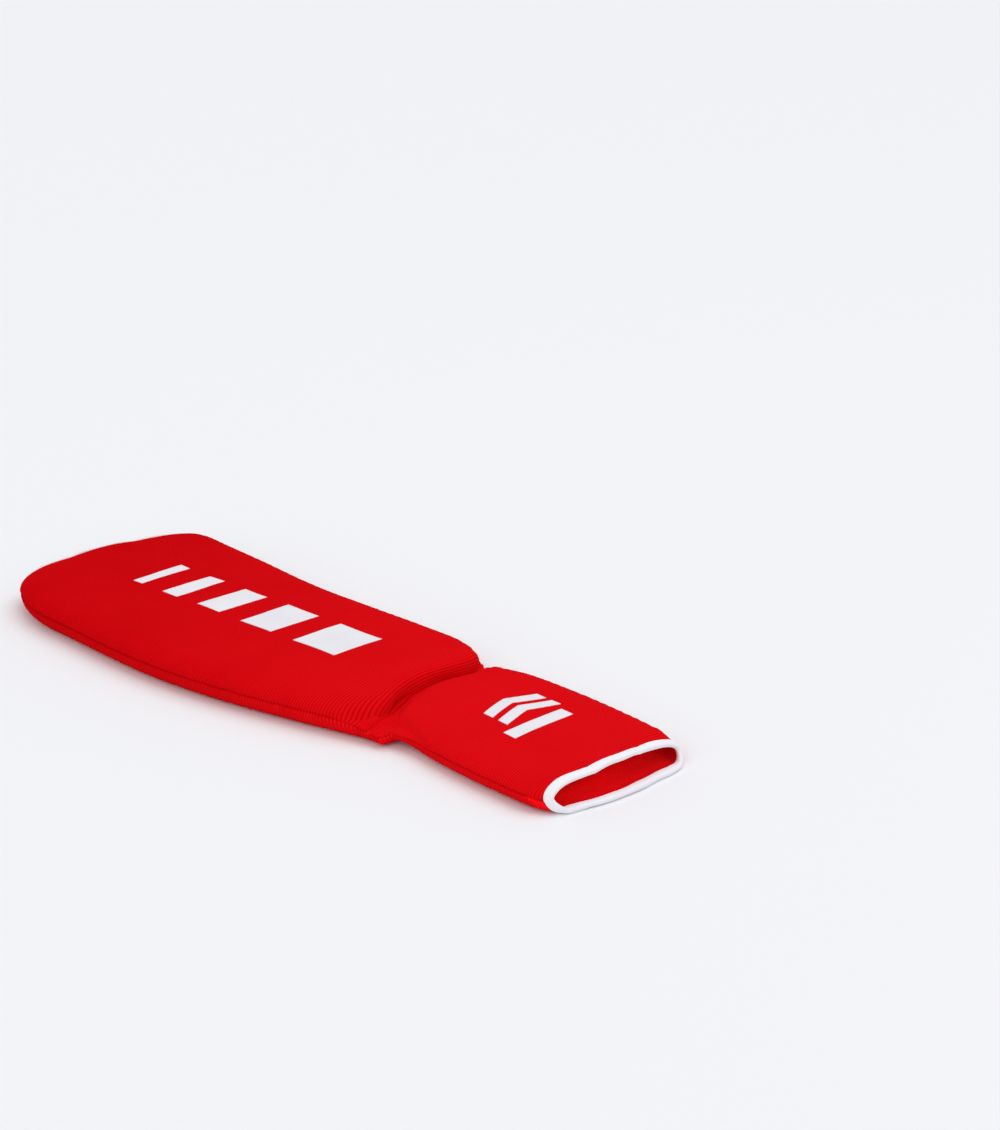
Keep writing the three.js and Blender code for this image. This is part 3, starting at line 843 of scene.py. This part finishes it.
def prints(surface):
    p = SHIN_PRINT
    gap = (p["length"] - p["slant"] - sum(p["bars"])) / (len(p["bars"]) - 1)
    start = p["x"] + p["length"] / 2
    vs = np.linspace(-p["depth"] / 2, p["depth"] / 2, 40)
    for i, width in enumerate(p["bars"]):
        first = start - width
        us = np.linspace(0, width, int(width / STATION) + 1)

        def place(u, v, first=first):
            return first + u - p["slant"] * (0.5 - v / p["depth"]), p["y"] + v

        printed(f"shin_print_bar_{i + 1}", "shin", surface, us, vs, place)
        start -= width + gap

    turn = math.radians(INSTEP_PRINT["turn"])

    def turned(along, across):
        x = INSTEP_PRINT["x"] + along * math.cos(turn) + across * math.sin(turn)
        return x, INSTEP_PRINT["y"] + across * math.cos(turn) - along * math.sin(turn)

    us = np.linspace(-BAR["depth"] / 2, BAR["depth"] / 2, 17)
    vs = np.linspace(-BAR["length"] / 2, BAR["length"] / 2, 50)
    printed("instep_print_bar", "instep", surface, us, vs, turned)
    for i, start in enumerate(CHEVRON["starts"]):

        def place(u, v, start=start):
            return turned(start + u + CHEVRON["rise"] * np.abs(v), CHEVRON["left"] + v * CHEVRON["width"] / 2)

        us = np.linspace(0, CHEVRON["depth"], 14)
        printed(f"instep_print_chevron_{i + 1}", "instep", surface, us, np.linspace(-1, 1, 49), place)


# ---- Pads and linings ----
def pad(section, x0, x1):
    """A foam pad with rounded edges, inside its pocket."""
    least, softness = 2.0, 5.0
    low = PAD_BOTTOM
    x = np.linspace(x0, x1, 120)[:, None]
    edge = 9 + 12 * bell(x, X_FOLD + 18, 16)  # further in behind the side folds
    across = np.linspace(-1, 1, 201)[None, :] * (half_width(x) - edge)
    room = front_height(x, across, KNIT + 0.9) > low + least
    right = np.where(room, across, np.inf).min(axis=1, keepdims=True)
    left = np.where(room, across, -np.inf).max(axis=1, keepdims=True)
    y = mix(right, left, np.linspace(0, 1, 49)[None, :])
    high = front_height(x, y, KNIT + 0.9)
    for inside in (np.minimum(x - x0, x1 - x), np.minimum(y - right, left - y)):
        rounded = np.sqrt(np.clip(1 - np.clip(1 - inside / softness, 0, 1) ** 2, 0, 1))
        high = low + 0.6 + (high - low - 0.6) * rounded
    top = lie(x, y, high)
    bottom = lie(x, y, low + 0 * x * y)
    name = f"{section}_foam_pad"
    obj = thick_grid(name + "_rounded", top, bottom, foam)
    own(obj, section, [name])


def panel_lining(section, x0, x1):
    """The cloth behind a pad, which rises to the front at the open end and closes the pocket there."""
    inset = KNIT + 0.3 + 3.0 + 0.3
    x = np.linspace(x0, x1, 90)[:, None]
    v = np.linspace(-1, 1, 41)[None, :]
    y = v * (half_width(x) - inset)
    sag = 0.25 * waves(41, 60, 20)(x, y) * ease(1 - np.abs(v), 0, 0.1)
    closing = ease(x, X_TOP + 29, X_TOP + 17) + ease(x, X_TOE - 31, X_TOE - 18)
    sag = sag + 8 * closing * np.sqrt(1 - v**2)
    ceiling = front_height(x, y, KNIT) - 1 - 1.8 * bell(x, X_FOLD + 16, 14)
    height = np.minimum(TUNNEL_TOP + LINING - 0.35 + sag, ceiling)
    top = lie(x, y, height)
    bottom = lie(x, y, height - 0.55)
    name = f"{section}_pad_lining"
    obj = thick_grid(name + "_cloth", top, bottom, lining)
    own(obj, section, [name])


# ---- Overlocked seams ----
def overlock(name, path, up, material, width=2.6, height=1.5, pitch=2.2):
    """A ridge of looped thread along a path: a rounded strip that swells at each loop."""
    length = np.concatenate([[0], np.cumsum(np.linalg.norm(np.diff(path, axis=0), axis=1))])
    count = max(8, int(length[-1] / 0.55))
    at = np.linspace(0, length[-1], count)
    path = np.stack([np.interp(at, length, path[:, k]) for k in range(3)], axis=1)
    up = np.stack([np.interp(at, length, up[:, k]) for k in range(3)], axis=1)
    ahead = unit(np.gradient(path, axis=0))
    side = unit(np.cross(ahead, up))
    up = unit(np.cross(side, ahead))
    angle = np.linspace(0, 2 * math.pi, 14, endpoint=False)[None, :]
    swell = 1 + 0.16 * np.sin(2 * math.pi * (at[:, None] / pitch) + 1.2 * np.cos(angle))
    a = np.cos(angle) * width / 2 * swell
    b = np.sin(angle) * height / 2 * swell
    points = path[:, None] + a[..., None] * side[:, None] + b[..., None] * up[:, None]
    return swept(name, rest_on_floor(points, 0.0), material, False)


def side_seams():
    for side, label in ((1, "left"), (-1, "right")):
        x = np.linspace(X_TOP + 26, X_TOE - 26, 300)
        tuck = bell(x, SEAM_TUCK["x"], SEAM_TUCK["reach"])
        y = side * (half_width(x) - KNIT - 2.6 - SEAM_TUCK["in"] * tuck)
        z = np.minimum(seam_height(x) - 0.6, front_height(x, y, KNIT) - 2.4) - SEAM_TUCK["down"] * tuck
        path = lie(x, y, z)
        up = np.tile([0.0, 0.0, 1.0], (len(x), 1))
        obj = overlock(f"side_seam_{label}", path, up, red_thread, 2.6, 1.0)
        span(obj, [f"shin_side_seam_{label}", f"instep_side_seam_{label}"])


def pocket_seam(section, x0, x1):
    """The thread across a pad's end at the fold, where there is room for it under the front."""
    x = (x0 + x1) / 2
    z = PAD_BOTTOM + 0.75
    across = np.linspace(-1, 1, 121) * (half_width(x) - 9)
    room = across[front_height(x, across, KNIT) > z + 2.6]
    y = np.linspace(room.min(), room.max(), 60)
    path = lie(x, y, z + 0 * y)
    up = np.tile([0.0, 0.0, 1.0], (len(y), 1))
    name = f"{section}_pocket_seam"
    obj = overlock(name + "_thread", path, up, red_thread, 2.2, 1.3)
    own(obj, section, [name])


def heel_edging():
    """The white overlocked edge round the heel opening, one ring over the fold."""
    t = np.linspace(-1, 1, 400)
    y = across_section(X_FOLD, t, under_shoulder(X_FOLD), 0)[0]
    t = t[np.abs(y) < HEEL["half_width"]]
    halves = []
    for section, outward in (("shin", -1), ("instep", 1)):
        x = heel_x(t, section) + outward * 1.0
        halves.append(back(x, t)[:: 1 if outward < 0 else -1])
    path = np.concatenate([*halves, halves[0][:1]])
    path[:, 2] += 0.75
    up = np.tile([0.0, 0.0, 1.0], (len(path), 1))
    obj = overlock("heel_edging", path, up, white_thread, 2.6, 1.8)
    span(obj, ["shin_heel_edge", "instep_heel_edge"])


# ---- The floor, the lights and the camera ----
CAMERA = {"place": (1000.9, -1003.65, 656.6), "pitch": 22.48, "heading": 40.73, "lens": 82.88}


def camera():
    data = bpy.data.cameras.new("camera")
    data.lens = CAMERA["lens"]
    data.sensor_width = 36
    data.clip_end = 50
    obj = bpy.data.objects.new("camera", data)
    obj.location = Vector(CAMERA["place"]) * MM
    obj.rotation_euler = (math.radians(90 - CAMERA["pitch"]), 0, math.radians(CAMERA["heading"]))
    bpy.context.scene.collection.objects.link(obj)
    bpy.context.scene.camera = obj


def aim(obj, direction):
    """Points a light along a direction."""
    obj.rotation_euler = Vector(direction).to_track_quat("-Z", "Y").to_euler()
    bpy.context.scene.collection.objects.link(obj)


def sun_light(name, towards, strength, spread):
    """An even soft light over the whole floor, from the direction towards."""
    data = bpy.data.lights.new(name, "SUN")
    data.energy = strength
    data.angle = math.radians(spread)
    aim(bpy.data.objects.new(name, data), -Vector(towards))


def area_light(name, place, target, size, power):
    data = bpy.data.lights.new(name, "AREA")
    data.shape = "RECTANGLE"
    data.size, data.size_y = size
    data.energy = power
    obj = bpy.data.objects.new(name, data)
    obj.location = place
    obj.visible_camera = False
    aim(obj, Vector(target) - Vector(place))
    return obj


def light_only(light, names):
    """The light falls on these objects and no others."""
    receivers = bpy.data.collections.new(light.name + "_receivers")
    for name in names:
        receivers.objects.link(bpy.data.objects[name])
    light.light_linking.receiver_collection = receivers


def studio():
    n = Nodes("pale_floor")
    floor_material = n.finish(base_color=(0.9, 0.905, 0.925, 1), roughness=0.9, specular_ior_level=0.1)
    size = 12000
    corners = [(-size, -size, 0), (size, -size, 0), (size, size, 0), (-size, size, 0)]
    floor = make_object("floor", corners, [(0, 1, 2, 3)], floor_material)
    world = bpy.data.worlds.new("studio")
    world.use_nodes = True
    background = world.node_tree.nodes["Background"]
    background.inputs["Color"].default_value = (0.97, 0.98, 1.0, 1)
    background.inputs["Strength"].default_value = 0.64
    bpy.context.scene.world = world
    sun_light("overhead", (0.1, 0.35, 1.0), 0.88, 60)
    sun_light("near_fill", (0.2, -1.0, 0.75), 0.5, 50)
    area_light("side", (1.0, 0.3, 1.1), (0.15, 0, 0), (0.8, 0.8), 0.5)
    bpy.context.scene.view_settings.view_transform = "Standard"
    return area_light("inside", (0.56, -0.03, 0.08), (0.2, 0, 0.004), (0.12, 0.05), 1.4)


camera()
inside_light = studio()
surface = front_knit()
back_knit()
opening_tape("toe_tape", X_TOE, "instep", "toe_opening_binding")
opening_tape("top_tape", X_TOP, "shin", "top_opening_binding")
prints(surface)
pad("shin", X_TOP + 30, X_FOLD - 14)
pad("instep", X_FOLD + 16.7, X_TOE - 33)
panel_lining("shin", X_TOP + 15, X_FOLD - 11.3)
panel_lining("instep", X_FOLD + 14, X_TOE - 15)
side_seams()
pocket_seam("shin", X_FOLD - 13.7, X_FOLD - 11.3)
pocket_seam("instep", X_FOLD + 14, X_FOLD + 16.4)
heel_edging()
light_only(inside_light, ["back_knit", "instep_pad_lining_cloth"])

bpy.context.view_layer.update()
